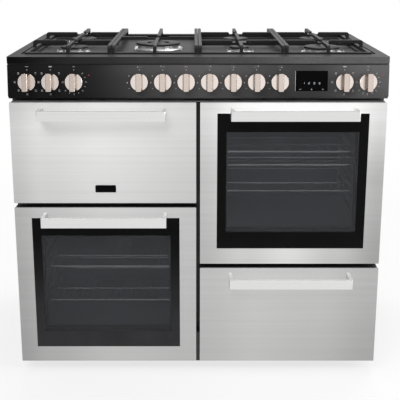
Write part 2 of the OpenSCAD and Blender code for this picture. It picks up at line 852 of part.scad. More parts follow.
// A finger that starts at a point, runs in a direction in degrees and has the length given
module finger(start, direction, length, leg = true) {
    translate([start[0], start[1], 0]) rotate(direction)
        translate([0, bar_w / 2, 0]) rotate([90, 0, 0]) linear_extrude(bar_w) finger_outline(length, leg);
}

// An outline drawn in Y and Z from the point y, made as wide as a cast bar from x
module bar_yz_at(x, y) {
    translate([0, y, 0]) bar_yz(x, x + bar_w) children();
}

// A pan support: low bars, high bars where it meets a neighbour, and fingers over its burners
module pan_support(place, high_left, high_right) {
    burners = [for (b = BURNERS) if (b[0] == place) b[1]];
    half = support_w / 2;
    front = support_front;
    rear = support_rear;
    middle = (burner_front + burner_rear) / 2;
    gap = len(burners) == 1 ? finger_gap * 1.5 : finger_gap;
    first = min(burners);
    last = max(burners);
    color(black) translate([place * support_pitch, y_face, z_ledge]) {
        block([-half, front, 0], [half, front + bar_w, low_bar_h]);
        block([-half, rear - bar_w, 0], [half, rear, low_bar_h]);
        for (side = [-1, 1]) {
            high = side < 0 ? high_left : high_right;
            edge = side * half;
            inside = edge - side * bar_w;
            if (high) {
                bar_yz_at(min(edge, inside), front) bridge_outline(rear - front);
                if (len(burners) > 1)
                    block([min(edge, inside), middle - bar_w / 2, 0],
                          [max(edge, inside), middle + bar_w / 2, support_h - 1]);
            } else {
                block([min(edge, inside), front, 0], [max(edge, inside), rear, low_bar_h]);
            }
            for (d = burners) finger([high ? inside : edge, d], side < 0 ? 0 : 180,
                                     half - gap - (high ? bar_w : 0), !high);
        }
        finger([0, front], 90, first - gap - front);
        finger([0, rear], -90, rear - last - gap);
        if (len(burners) > 1) {
            block([-half, middle - bar_w / 2, 0], [half, middle + bar_w / 2, low_bar_h]);
            block([-bar_w / 2, middle - bar_w / 2, 0], [bar_w / 2, middle + bar_w / 2, support_h]);
            finger([0, middle], -90, middle - first - gap, false);
            finger([0, middle], 90, last - middle - gap, false);
        }
    }
}

// A compartment: five enamelled walls, open at the front, with holes for its element and its fan's shaft
module cavity(space, fan) {
    back = y_inside + space[3];
    left = space[0] - oven_w / 2;
    right = space[0] + oven_w / 2;
    low = space[1];
    high = low + space[2];
    color(enamel) difference() {
        block([left - sheet, y_inside, low - sheet], [right + sheet, back + sheet, high + sheet]);
        block([left, y_inside - 1, low], [right, back, high]);
        if (fan) {
            on_fan(space) translate([0, 0, -sheet - 1]) cylinder(r = 2 * shaft_r, h = sheet + 2);
            on_tails(space) cylinder(r = tail_r + seat_gap, h = 2 * ring_up);
        } else {
            for (side = [-1, 1])
                translate([space[0] + side * 1.5 * grill_spacing, back - 1, high - grill_drop])
                    rotate([-90, 0, 0]) cylinder(r = tube_r + seat_gap, h = sheet + 2);
        }
    }
}

// Puts children on a fan's axis: Z towards the door, from the oven's back wall
module on_fan(space) {
    translate([space[0], y_inside + space[3], space[1] + space[2] / 2]) rotate([90, 0, 0]) children();
}

// Puts children at the two tails of a ring element, from behind the oven's back wall
module on_tails(space) {
    on_fan(space) for (side = [-1, 1])
        translate([side * ring_spacing / 2, fan_r + ring_out, -ring_up]) children();
}

// A cover over each fan: a shallow pan with a round grille and outlet slots
module fan_covers() {
    half = [oven_w / 2 - 24, MAIN_OVEN[2] / 2 - 20];
    color(enamel) for (space = [MAIN_OVEN, FAN_OVEN]) on_fan(space) difference() {
        block([-half[0], -half[1], 0], [half[0], half[1], fan_chamber]);
        block([sheet - half[0], sheet - half[1], -1],
              [half[0] - sheet, half[1] - sheet, fan_chamber - sheet]);
        for (ring = [1 : 3], k = [0 : 6 * ring - 1])
            rotate(k * 60 / ring) translate([ring * 14, 0, fan_chamber - sheet - 1])
                cylinder(r = 4, h = sheet + 2);
        for (side = [-1, 1], row = [-2 : 2])
            translate([side * (half[0] - 22), row * 48, fan_chamber - sheet - 1])
                block([-3, -17, 0], [3, 17, sheet + 2]);
    }
}

// A fan: hub, disc, blades and the shaft that carries it
module oven_fan(space) {
    blades = 8;
    blade_l = 28;
    low = 6;
    high = 24;
    shaft_in = 56;
    color(zinc) on_fan(space) {
        translate([0, 0, -shaft_in]) cylinder(r = shaft_r, h = shaft_in + high);
        translate([0, 0, low]) cylinder(r = shaft_r + 7, h = high - low);
        translate([0, 0, low]) cylinder(r = fan_r, h = sheet);
        for (k = [0 : blades - 1]) rotate(k * 360 / blades)
            block([fan_r - 2 - blade_l, -sheet / 2, low], [fan_r - 2, sheet / 2, high]);
    }
}

// A motor behind each oven, with a three-legged bracket on the oven's back wall
module fan_motors() {
    front = -16 - sheet;
    motor_l = 46;
    motor_r = 32;
    leg_r = 60;
    leg_w = 16;
    leg_t = 2;
    bore_l = 60;
    color(zinc) for (space = [MAIN_OVEN, FAN_OVEN]) on_fan(space) difference() {
        union() {
            translate([0, 0, front - motor_l]) cylinder(r = motor_r, h = motor_l);
            for (k = [0 : 2]) rotate(k * 120 + 30) {
                block([20, -leg_w / 2, front - leg_t], [leg_r, leg_w / 2, front]);
                block([leg_r - leg_t, -leg_w / 2, front - leg_t], [leg_r, leg_w / 2, -sheet]);
            }
        }
        translate([0, 0, -bore_l]) cylinder(r = shaft_r + run_gap, h = bore_l);
    }
}

// Ring elements round the fans, and the grill's rods under its ceiling
module heating_elements() {
    color(zinc) {
        for (space = [MAIN_OVEN, FAN_OVEN]) {
            on_fan(space) translate([0, 0, ring_up]) rotate_extrude()
                translate([fan_r + ring_out, 0]) circle(tube_r);
            on_tails(space) cylinder(r = tail_r, h = 2 * ring_up);
        }
        grill_rods(tube_r);
    }
}

// Four rods bent into one, hung under the grill's ceiling from its back wall
module grill_rods(r) {
    back = y_inside + GRILL_SPACE[3];
    front = y_inside + 60;
    bend_y = back - 40;
    bend_r = grill_spacing / 2;
    translate([GRILL_SPACE[0], 0, GRILL_SPACE[1] + GRILL_SPACE[2] - grill_drop]) {
        for (k = [-1.5 : 1.5])
            rod([k * grill_spacing, front, 0], [k * grill_spacing, abs(k) > 1 ? back + 14 : bend_y, 0], r);
        for (k = [-1, 1]) translate([k * grill_spacing, front, 0]) rotate(180)
            rotate_extrude(angle = 180) translate([bend_r, 0]) circle(r);
        translate([0, bend_y, 0]) rotate_extrude(angle = 180) translate([bend_r, 0]) circle(r);
        for (side = [-1, 1]) translate([side * grill_spacing, front + 60, 0])
            block([-bend_r - r, 0, 0], [bend_r + r, 6, grill_drop]);
    }
}

// Wire ladders on both sides of each oven, and the grill's two ledges
module shelf_ladders() {
    color(chromed) {
        ladder_pair(MAIN_OVEN, main_guide_z, main_guide_pitch);
        ladder_pair(FAN_OVEN, fan_guide_z, fan_guide_pitch);
        for (side = [0, 1]) translate([GRILL_SPACE[0], 0, GRILL_SPACE[1]]) mirror([side, 0, 0]) {
            block([oven_w / 2 - ledge_out, y_inside + ledge_start, pan_up - sheet],
                  [oven_w / 2, y_inside + ledge_start + ledge_l, pan_up]);
            block([oven_w / 2 - sheet, y_inside + ledge_start, pan_up - sheet - ledge_out],
                  [oven_w / 2, y_inside + ledge_start + ledge_l, pan_up]);
        }
    }
}

// Two ladders: uprights pinned to the wall, and a rod for each shelf height
module ladder_pair(space, first, pitch) {
    r = guide_d / 2;
    x = oven_w / 2 - guide_wall;
    y0 = y_inside + shelf_front;
    y1 = y0 + guide_l;
    upright_x = x + guide_d;
    top = first + (guide_count - 1) * pitch;
    for (side = [0, 1]) translate([space[0], 0, space[1]]) mirror([side, 0, 0]) {
        for (k = [0 : guide_count - 1]) wire([x, y0, first + k * pitch], [x, y1, first + k * pitch], r);
        for (y = [y0 + 12, y1 - 12]) {
            wire([upright_x - 0.6, y, first - 6], [upright_x - 0.6, y, top + 6], r);
            for (z = [first + 4, top - 4]) wire([upright_x - 0.6, y, z], [oven_w / 2, y, z], r);
        }
    }
}

// A wire shelf: frame, wires from front to back, and two cross wires under them
module shelf(space, z, pitch) {
    r = frame_wire_d / 2;
    x = oven_w / 2 - guide_wall - 1;
    y0 = y_inside + shelf_front;
    y1 = y0 + shelf_depth;
    wires = floor((x - pitch / 3) / pitch);
    translate([space[0], 0, space[1] + z]) {
        for (side = [-1, 1]) wire([side * x, y0 - r, 0], [side * x, y1 + r, 0], r);
        for (y = [y0, y1]) wire([-x, y, 0], [x, y, 0], r);
        for (k = [-wires : wires]) wire([k * pitch, y0, 0], [k * pitch, y1, 0], wire_r);
        for (y = [y0 + 90, y1 - 90]) wire([-x, y, -wire_r], [x, y, -wire_r], wire_r + 0.5);
    }
}

// Height of a shelf's wires above the oven floor, on the guide with this number
function shelf_z(first, pitch, guide) = first + guide * pitch + (guide_d + frame_wire_d) / 2 + seat_gap;

module main_oven_shelves() {
    color(chromed) for (guide = MAIN_SHELVES)
        shelf(MAIN_OVEN, shelf_z(main_guide_z, main_guide_pitch, guide), wire_pitch);
}

module fan_oven_shelves() {
    color(chromed) for (guide = FAN_SHELVES)
        shelf(FAN_OVEN, shelf_z(fan_guide_z, fan_guide_pitch, guide),
              guide == FAN_SHELVES[0] ? fine_pitch : wire_pitch);
}

// Grill pan on its ledges, with the trivet that lies in it
module grill_pan() {
    half = oven_w / 2 - ledge_out - 8;
    lip = 14;
    y0 = y_inside + ledge_start + 5;
    y1 = y0 + ledge_l - 5;
    margin = 12;
    bars = floor((half - margin) / trivet_pitch);
    translate([GRILL_SPACE[0], 0, GRILL_SPACE[1] + pan_up]) {
        color(enamel) difference() {
            union() {
                block([-half, y0, -pan_deep], [half, y1, 0]);
                block([-half - lip, y0, 0], [half + lip, y1, sheet]);
            }
            block([sheet - half, y0 + sheet, sheet - pan_deep], [half - sheet, y1 - sheet, 5]);
        }
        color(chromed) translate([0, 0, -trivet_drop]) {
            for (y = [y0 + margin, y1 - margin]) {
                wire([margin - half, y, 0], [half - margin, y, 0], trivet_r);
                for (x = [-half * 2 / 3, half * 2 / 3])
                    wire([x, y, trivet_drop - pan_deep + sheet], [x, y, 0], trivet_r);
            }
            for (k = [-bars : bars])
                wire([k * trivet_pitch, y0 + margin, 0], [k * trivet_pitch, y1 - margin, 0], wire_r);
        }
    }
}

// A lamp under the ceiling of each oven, at the back
module oven_lamps() {
    color(ceramic) for (space = [MAIN_OVEN, FAN_OVEN])
        translate([space[0] + lamp_out, y_inside + space[3] - lamp_in, space[1] + space[2]]) {
            translate([0, 0, -6]) cylinder(r1 = 18, r2 = 22, h = 6);
            translate([0, 0, sheet]) cylinder(r = 20, h = 26);
        }
}

// A rubber seal round each mouth, on the front frame
module door_seals() {
    color(rubbery) for (space = [MAIN_OVEN, FAN_OVEN, GRILL_SPACE])
        plate_xz(y_frame - seal_t, y_frame) difference() {
            mouth(space, seal_in + seal_w);
            mouth(space, seal_in);
        }
}

// Puts children on a hinged front's pin axis, at each of its two ears
module at_ears(front) {
    on_front(front) for (side = [-1, 1]) translate([side * hinge_x, pin_back, pin_up]) children();
}

// Hinge ears on the front frame, each with the pin that its door turns on
module hinge_brackets() {
    color(zinc) for (front = [MAIN, GRILL, FAN]) at_ears(front) {
        rotate([0, 90, 0]) translate([0, 0, -ear_t / 2]) cylinder(r = ear_r, h = ear_t);
        block([-ear_t / 2, 0, -ear_r], [ear_t / 2, pin_to_frame, ear_r]);
        block([-ear_t / 2 - 6, pin_to_frame - sheet, -ear_r], [ear_t / 2 + 6, pin_to_frame, ear_r]);
        rotate([0, 90, 0]) translate([0, 0, 1 - hinge_wide]) cylinder(d = pin_d, h = 2 * hinge_wide - 2);
    }
}

// Outline of a front in X and Z, drawn in by a distance
module front_outline(front, inset) {
    translate([-door_w / 2 + inset, inset]) square([door_w - 2 * inset, tall(front) - 2 * inset]);
}

// A rectangle in X and Z between the margins of a front's glass, drawn in by more on each side
module glass_outline(front, side, top, low) {
    translate([-glass_w / 2 + side, glass_low + low])
        square([glass_w - 2 * side, tall(front) - glass_low - glass_top - top - low]);
}

// Steel face with folded edges; a glazed one has an opening
module steel_face(front, glazed) {
    color(steel) on_front(front) difference() {
        plate_xz(0, face_edge) round_rect([-door_w / 2, 0], [door_w / 2, tall(front)], face_corner_r);
        plate_xz(face_t, face_edge + 1) front_outline(front, sheet);
        if (glazed) plate_xz(-1, face_edge + 1) glass_outline(front, -glass_gap, -glass_gap, -glass_gap);
    }
}

// Cuts a hinged front clear of its two ears, and bores the lugs beside them
module hinge_cuts(front) {
    half = ear_t / 2 + swing_gap;
    cut_r = ear_r + swing_gap;
    for (side = [-1, 1]) translate([side * hinge_x, pin_back, pin_up]) {
        block([-half, -cut_r, -pin_up - 1], [half, 2 * pin_to_frame, cut_r]);
        rotate([0, 90, 0]) translate([0, 0, -hinge_wide - 1])
            cylinder(r = pin_d / 2 + run_gap, h = 2 * hinge_wide + 2);
    }
}

// Hollow body of a hinged front, and its inner panel with the raised part that meets the seal
module door_body(front, space, glazed) {
    color(black) on_front(front) difference() {
        union() {
            difference() {
                plate_xz(face_edge, body_back) front_outline(front, body_in);
                plate_xz(face_edge + sheet, body_back + 1) difference() {
                    front_outline(front, body_in + sheet);
                    if (glazed) window_outline(front, window_lap + sheet);
                }
                if (glazed) plate_xz(face_edge - 1, body_back + 1) window_outline(front, window_lap);
            }
            hinge_lugs();
        }
        hinge_cuts(front);
    }
    color(dark) on_front(front) difference() {
        union() {
            plate_xz(liner_front, liner_front + sheet) front_outline(front, liner_in);
            plate_xz(liner_front, liner_back) raised_outline(front, space, 0);
        }
        plate_xz(liner_front + sheet, liner_back - sheet) difference() {
            raised_outline(front, space, sheet);
            if (glazed) window_outline(front, inner_glass_lap + pane_gap + sheet - liner_window_in);
        }
        if (glazed) {
            plate_xz(liner_front - 1, liner_back + 1) window_outline(front, -liner_window_in);
            plate_xz(liner_front + sheet, liner_back + 1)
                window_outline(front, inner_glass_lap + pane_gap - liner_window_in);
        }
        hinge_cuts(front);
    }
}

// Outline of the inner panel's raised part, drawn in by a distance
module raised_outline(front, space, inset) {
    translate([-oven_w / 2 - liner_over + inset, space[1] - bottom(front) - liner_over + inset])
        square([oven_w + 2 * (liner_over - inset), space[2] + 2 * (liner_over - inset)]);
}

// Outline of the clear window, grown by a distance
module window_outline(front, grow) {
    glass_outline(front, window_side - grow, window_top - grow, window_low - grow);
}

// Solid lugs that turn on the hinge pins
module hinge_lugs() {
    for (side = [-1, 1])
        block([side * hinge_x - hinge_wide, face_edge, body_in],
              [side * hinge_x + hinge_wide, body_back, pin_up + ear_r + swing_gap]);
}

// The two panes of a glazed front
module door_glass(front) {
    color(glass) on_front(front) {
        plate_xz(glass_inset, face_edge) glass_outline(front, 0, 0, 0);
        plate_xz(liner_front + sheet, liner_front + sheet + glass_t)
            window_outline(front, inner_glass_lap - liner_window_in);
    }
}

// A handle: a flat bar on two posts
module handle(front) {
    top = tall(front) - handle_drop;
    half = handle_l / 2;
    color(steel) on_front(front) translate([0, 0, top - handle_h]) linear_extrude(handle_h) difference() {
        round_rect([-half, -handle_reach], [half, 4], 2.5);
        translate([-half + handle_t, -handle_reach + handle_t])
            square([handle_l - 2 * handle_t, handle_reach]);
        translate([-half - 1, 0]) square([handle_l + 2, 10]);
    }
}

// Storage drawer: the hollow body of its front, and the box with a runner screwed to each side
module drawer_box() {
    back = pin_back + pin_to_frame - 1;
    front = back + fold_gap;
    half = drawer_w / 2;
    low = drawer_box_up;
    high = low + drawer_box_h;
    color(dark) on_front(DRAWER) {
        difference() {
            plate_xz(face_edge, back) front_outline(DRAWER, body_in);
            plate_xz(face_edge + sheet, back - sheet) front_outline(DRAWER, body_in + sheet);
        }
        difference() {
            block([-half, front, low], [half, drawer_back, high]);
            block([sheet - half, front + sheet, low + sheet],
                  [half - sheet, drawer_back - sheet, high + 1]);
        }
        for (side = [0, 1]) mirror([side, 0, 0])
            block([half + fold_gap, front, runner_up],
                  [half + runner_w, drawer_back, runner_up + runner_h]);
    }
}

// Rails for the drawer, fixed to the back of the front frame
module drawer_rails() {
    inner = drawer_w / 2 + 3;
    outer = drawer_w / 2 + runner_w + slide_gap;
    start = pin_back + pin_to_frame + sheet;
    low = runner_up - slide_gap;
    high = runner_up + runner_h + slide_gap;
    color(zinc) on_front(DRAWER) for (side = [0, 1]) mirror([side, 0, 0]) {
        difference() {
            block([inner, start, low - 2], [outer + 2, drawer_back, high + 2]);
            block([inner - 1, start - 1, low], [outer, drawer_back + 1, high]);
        }
        block([outer, start, low - 2], [outer + 14, start + 2, high + 2]);
    }
}

// Terminal box with its cable hole, and the gas inlet, in the recess behind the rear panel
module supply_fittings() {
    color(black) translate([terminal_in - width / 2, y_rear_panel, terminal_up]) difference() {
        block([-terminal_w / 2, 0, 0], [terminal_w / 2, terminal_deep, terminal_h]);
        block([terminal_wall - terminal_w / 2, -1, terminal_wall],
              [terminal_w / 2 - terminal_wall, terminal_deep - terminal_wall, terminal_h - terminal_wall]);
        translate([0, terminal_deep / 2, -1]) cylinder(r = cable_hole_r, h = terminal_wall + 2);
    }
    color(brassy) translate([width / 2 - inlet_in, y_rear_panel + inlet_out, z_trim - inlet_down]) {
        translate([0, 0, -inlet_l]) cylinder(r = inlet_r, h = inlet_l);
        cylinder(r = inlet_r + 2, h = 24);
        translate([0, 0, 12]) rotate([90, 0, 0]) cylinder(r = inlet_r - 1, h = inlet_out);
    }
}

outer_panels();
base_tray();
front_frame();
vent_rail();
control_panel();
clock_display();
hob_tray();
burner_crowns();
burner_caps();
spark_plugs();
gas_manifold();
oven_switches();
cavity(GRILL_SPACE, false);  // grill_cavity
cavity(MAIN_OVEN, true);  // main_oven_cavity
cavity(FAN_OVEN, true);  // fan_oven_cavity
fan_covers();
fan_motors();
heating_elements();
shelf_ladders();
oven_lamps();
grill_pan();
main_oven_shelves();
fan_oven_shelves();
door_seals();
hinge_brackets();
drawer_rails();
supply_fittings();
levelling_feet();
oven_fan(MAIN_OVEN);  // main_oven_fan
oven_fan(FAN_OVEN);  // fan_oven_fan
steel_face(GRILL, false);  // grill_door_face
door_body(GRILL, GRILL_SPACE, false);  // grill_door_body
handle(GRILL);  // grill_door_handle
steel_face(MAIN, true);  // main_door_face
door_body(MAIN, MAIN_OVEN, true);  // main_door_body
door_glass(MAIN);  // main_door_glass
handle(MAIN);  // main_door_handle
steel_face(FAN, true);  // fan_door_face
door_body(FAN, FAN_OVEN, true);  // fan_door_body
door_glass(FAN);  // fan_door_glass
handle(FAN);  // fan_door_handle
steel_face(DRAWER, false);  // drawer_face
drawer_box();
handle(DRAWER);  // drawer_handle
pan_support(-1.5, false, true);  // pan_support_left
pan_support(-0.5, true, true);  // pan_support_wok
pan_support(0.5, true, true);  // pan_support_middle
pan_support(1.5, true, false);  // pan_support_right
knob(0);  // knob_front_left
knob(1);  // knob_rear_left
knob(2);  // knob_wok
knob(3);  // knob_rear_middle
knob(4);  // knob_front_middle
knob(5);  // knob_rear_right
knob(6);  // knob_front_right
knob(7);  // knob_grill
knob(8);  // knob_main_function
knob(9);  // knob_main_temperature
knob(10);  // knob_fan_function
knob(11);  // knob_fan_temperature
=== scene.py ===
import math

import bpy
from mathutils import Matrix, Vector


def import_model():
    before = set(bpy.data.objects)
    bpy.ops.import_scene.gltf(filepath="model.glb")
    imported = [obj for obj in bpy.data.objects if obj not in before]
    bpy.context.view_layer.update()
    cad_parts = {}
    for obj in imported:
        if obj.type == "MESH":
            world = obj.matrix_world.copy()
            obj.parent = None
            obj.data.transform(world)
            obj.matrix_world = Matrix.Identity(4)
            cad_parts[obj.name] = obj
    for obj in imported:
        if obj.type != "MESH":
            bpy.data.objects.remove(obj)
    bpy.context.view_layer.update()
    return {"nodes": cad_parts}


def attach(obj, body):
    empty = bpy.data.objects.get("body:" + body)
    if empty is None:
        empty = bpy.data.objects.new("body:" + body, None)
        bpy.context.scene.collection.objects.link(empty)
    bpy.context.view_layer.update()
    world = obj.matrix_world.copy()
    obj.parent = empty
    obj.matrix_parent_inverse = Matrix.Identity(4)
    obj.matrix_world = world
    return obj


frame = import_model()
nodes = frame["nodes"]

MM = 0.001

# Sizes in millimetres, as in the CAD source

# Casing: middle of a column of fronts, planes from front to back, inner side of the side panels, louvres, feet
COLUMN = 252.65
FACE = -271.5
RIB = -238
LINER_BACK = -230.6
REAR_PANEL = 283.5
SIDE_SHEET = 498.4
LOUVRE_TOP = 827.5
LOUVRE_PITCH = 16
LOUVRE_HALF = 92
FOOT_PAD = 9.2

# Sloping panel: places along it in X, and up it from its lower edge
PANEL_LEAN = math.radians(5.5)
PANEL_ORIGIN = (0, -278.5, 790.363)
KNOB_UP = 43.8
BURNER_KNOBS = [-154.3 + 61.4 * i for i in range(7)]
KNOBS = dict(zip(("knob_front_left", "knob_rear_left", "knob_wok", "knob_rear_middle", "knob_front_middle",
                  "knob_rear_right", "knob_front_right"), BURNER_KNOBS),
             knob_grill=-448.6, knob_main_function=-387.2, knob_main_temperature=-325.8, knob_fan_function=383.0,
             knob_fan_temperature=444.4)
FUNCTION_KNOBS = [KNOBS[name] for name in ("knob_grill", "knob_main_function", "knob_fan_function")]
HEAT_KNOBS = [KNOBS[name] for name in ("knob_main_temperature", "knob_fan_temperature")]
KNOB_BACK = 2
KNOB_DISC = 8
GRIP = 14.3
SIGN_UP = 83.8
SIGN_RING = 32
STROKE_RING = (29, 34.5, 33)
DOT_UP = 75.4
DOT_R = 1.25
CLOCK = (297.3, 46.6, 84, 52.5)
DIGIT_W = 2.6
DIGIT_H = 4.6
DIGIT_STROKE = 0.6

# Hob: height of its well, burners as X, Y and radius, and what stands beside them
WELL = 890
BURNERS = [(-348, -85.5, 37.5), (-348, 138.5, 37.5), (-116, 11.5, 64), (116, 138.5, 37.5),
           (116, -85.5, 27.5), (348, 138.5, 37.5), (348, -85.5, 50)]
WOK = 2
PLUG_ANGLE = math.radians(-32)
PLUG_GAP = 16
SENSOR_ANGLE = math.radians(-148)
SENSOR_GAP = 13

# Fronts, panes and windows: middle in X, low and high end in Z
FRONTS = {"main": (-COLUMN, 33, 489), "grill": (-COLUMN, 502, 779), "fan": (COLUMN, 327, 779),
          "drawer": (COLUMN, 33, 314)}
FRONT_HALF = 247
PANES = {"main": (-COLUMN, 78, 459), "fan": (COLUMN, 372, 749)}
PANE_HALF = 201.35
WINDOWS = {"main": (-COLUMN, 125, 409), "fan": (COLUMN, 419, 699)}
WINDOW_HALF = 177.35
HANDLE_DROP = 14
BADGE = (-250, 542.6)
BADGE_HALF = (28, 10)
BADGE_CORNER = 2.5
LAMP_SOCKETS = ((430.5, 500), (720.5, 900))

# Depth of a surface's grain in metres, and its stretch along a brushed sheet
BUMP_DEPTH = 0.0004
GRAIN = (1.5, 40, 900)


# Materials

def wire(tree, source, target):
    tree.links.new(source, target)


def coordinate(tree):
    return tree.nodes.new("ShaderNodeTexCoord").outputs["Object"]


def noise(tree, scale, stretch, detail=4.0):
    mapping = tree.nodes.new("ShaderNodeMapping")
    mapping.inputs["Scale"].default_value = stretch
    texture = tree.nodes.new("ShaderNodeTexNoise")
    texture.inputs["Scale"].default_value = scale
    texture.inputs["Detail"].default_value = detail
    wire(tree, coordinate(tree), mapping.inputs["Vector"])
    wire(tree, mapping.outputs["Vector"], texture.inputs["Vector"])
    return texture.outputs["Fac"]


def remap(tree, value, source, target):
    node = tree.nodes.new("ShaderNodeMapRange")
    node.inputs["From Min"].default_value = source[0]
    node.inputs["From Max"].default_value = source[1]
    node.inputs["To Min"].default_value = target[0]
    node.inputs["To Max"].default_value = target[1]
    wire(tree, value, node.inputs["Value"])
    return node.outputs["Result"]


def axis_value(tree, axis):
    split = tree.nodes.new("ShaderNodeSeparateXYZ")
    wire(tree, coordinate(tree), split.inputs["Vector"])
    return split.outputs[axis]


def product(tree, first, second):
    node = tree.nodes.new("ShaderNodeMath")
    node.operation = "MULTIPLY"
    wire(tree, first, node.inputs[0])
    wire(tree, second, node.inputs[1])
    return node.outputs[0]


def scaled(tree, colour, value):
    node = tree.nodes.new("ShaderNodeVectorMath")
    node.operation = "SCALE"
    node.inputs[0].default_value = colour
    wire(tree, value, node.inputs["Scale"])
    return node.outputs["Vector"]


def ramp(tree, value, gains, places=None):
    """Gains spread over 0 to 1, evenly or at given places, with soft steps between them."""
    node = tree.nodes.new("ShaderNodeValToRGB")
    node.color_ramp.interpolation = "EASE"
    stops = node.color_ramp.elements
    while len(stops) < len(gains):
        stops.new(0.5)
    places = places or [k / (len(gains) - 1) for k in range(len(gains))]
    for stop, place, gain in zip(stops, places, gains):
        stop.position = place
        stop.color = (gain, gain, gain, 1)
    wire(tree, value, node.inputs["Fac"])
    return node.outputs["Color"]


def fade(axis, start, end, gains, places=None):
    """Painted light and shade: gains from one place on an axis to another, in millimetres."""
    def made(tree):
        along = remap(tree, axis_value(tree, axis), (start * MM, end * MM), (0, 1))
        return ramp(tree, along, gains, places)
    return made


def front_painted_light(front, left, right, middle, places=None):
    """Painted light and shade over a front: gains up its left and right edge, and across it on top of those."""
    centre, low, high = FRONTS[front]

    def made(tree):
        up = remap(tree, axis_value(tree, "Z"), (low * MM, high * MM), (0, 1))
        across = remap(tree, axis_value(tree, "X"), ((centre - FRONT_HALF) * MM, (centre + FRONT_HALF) * MM),
                       (0, 1))
        mix = tree.nodes.new("ShaderNodeMix")
        wire(tree, across, mix.inputs["Factor"])
        wire(tree, ramp(tree, up, left), mix.inputs["A"])
        wire(tree, ramp(tree, up, right), mix.inputs["B"])
        return product(tree, mix.outputs["Result"], ramp(tree, across, middle, places))
    return made


def bands(tree):
    """Wide faint bands along the grain of a brushed sheet."""
    return remap(tree, noise(tree, 1.0, (0.7, 1, 110), 3.0), (0.3, 0.7), (0.97, 1.03))


def bump(tree, shader, height, strength):
    node = tree.nodes.new("ShaderNodeBump")
    node.inputs["Strength"].default_value = strength
    node.inputs["Distance"].default_value = BUMP_DEPTH
    wire(tree, height, node.inputs["Height"])
    wire(tree, node.outputs["Normal"], shader.inputs["Normal"])


FINISHES = {}


def material(name, colour, rough, metallic=0.0, specular=0.5, scale=60, stretch=(1, 1, 1), vary=0.12,
             grain=0.0, fades=(), alpha=1.0, glow=0.0, brushed=0.0):
    """A material whose colour and roughness follow a noise, with fades on top: painted light and shade, and bands of
    grain.
    Brushed metal spreads its reflections up and down."""
    made = bpy.data.materials.new(name)
    made.use_nodes = True
    tree = made.node_tree
    shader = tree.nodes["Principled BSDF"]
    shader.inputs["Metallic"].default_value = metallic
    shader.inputs["Specular IOR Level"].default_value = specular
    shader.inputs["Alpha"].default_value = alpha
    if brushed:
        tangent = tree.nodes.new("ShaderNodeTangent")
        tangent.direction_type = "RADIAL"
        tangent.axis = "X"
        shader.inputs["Anisotropic"].default_value = brushed
        wire(tree, tangent.outputs["Tangent"], shader.inputs["Tangent"])
    texture = noise(tree, scale, stretch)
    gain = remap(tree, texture, (0.3, 0.7), (1 - vary, 1 + vary))
    for each in fades:
        gain = product(tree, gain, each(tree))
    wire(tree, scaled(tree, colour, gain), shader.inputs["Base Color"])
    wire(tree, remap(tree, texture, (0.3, 0.7), (rough * 0.88, rough * 1.12)), shader.inputs["Roughness"])
    if grain:
        bump(tree, shader, texture, grain)
    if glow:
        shader.inputs["Emission Color"].default_value = (*colour, 1)
        shader.inputs["Emission Strength"].default_value = glow
    FINISHES[name] = made


def steel(front, level, **painted_light_gains):
    """Brushed steel of a front, with its grain along X and painted light and shade faded over the front."""
    material("steel_" + front, (level, level * 0.998, level * 0.994), 0.42, metallic=1.0, scale=1.0, stretch=GRAIN,
             vary=0.03, grain=0.1, fades=[bands, front_painted_light(front, **painted_light_gains)], brushed=0.75)


# Each front's level and gains paint the studio's reflections and shade on it, with a painted highlight where a gain
# passes 1
steel("grill", 0.7, left=(0.88, 0.92, 0.98, 1.03, 0.93), right=(0.84, 0.87, 0.92, 0.97, 0.97),
      middle=(0.8, 0.95, 1.05, 0.95), places=(0.0, 0.16, 0.5, 1.0))
steel("main", 0.52, left=(0.84, 0.9, 1.0), right=(0.98, 1.0, 1.04), middle=(0.82, 0.98, 1.12, 1.0),
      places=(0.0, 0.16, 0.5, 1.0))
steel("fan", 0.5, left=(0.95, 1.05, 1.35), right=(0.76, 0.94, 1.62), middle=(1.0, 1.36, 1.7, 1.4, 1.0))
steel("drawer", 0.55, left=(0.92, 0.96), right=(0.76, 0.9), middle=(1.0, 1.17, 1.15, 0.98))
material("steel_handle", (0.74, 0.74, 0.735), 0.3, metallic=1.0, scale=1.0, stretch=GRAIN, vary=0.03, grain=0.06,
         brushed=0.5)
# Upper faces of the handles: a paler copy of the steel, a painted highlight of the light from above
material("handle_top_painted_highlight", (0.92, 0.92, 0.915), 0.45, metallic=0.4, scale=1.0, stretch=GRAIN, vary=0.02, grain=0.04)
material("black_enamel", (0.012, 0.012, 0.013), 0.22, specular=0.4, scale=35, vary=0.2, grain=0.02)
material("frame_grey", (0.055, 0.055, 0.056), 0.4, specular=0.3, scale=35, vary=0.2)
material("hob_enamel", (0.042, 0.042, 0.043), 0.42, specular=0.06, scale=220, vary=0.15, grain=0.02)
# Front edge of the hob: painted shade and light, dark at the left and brighter to the right
material("hob_edge_painted_light", (0.09, 0.09, 0.091), 0.45, specular=0.06, scale=220, vary=0.1,
         fades=[fade("X", -500, 500, (0.01, 0.2, 0.42, 0.65, 1.0, 1.0))])
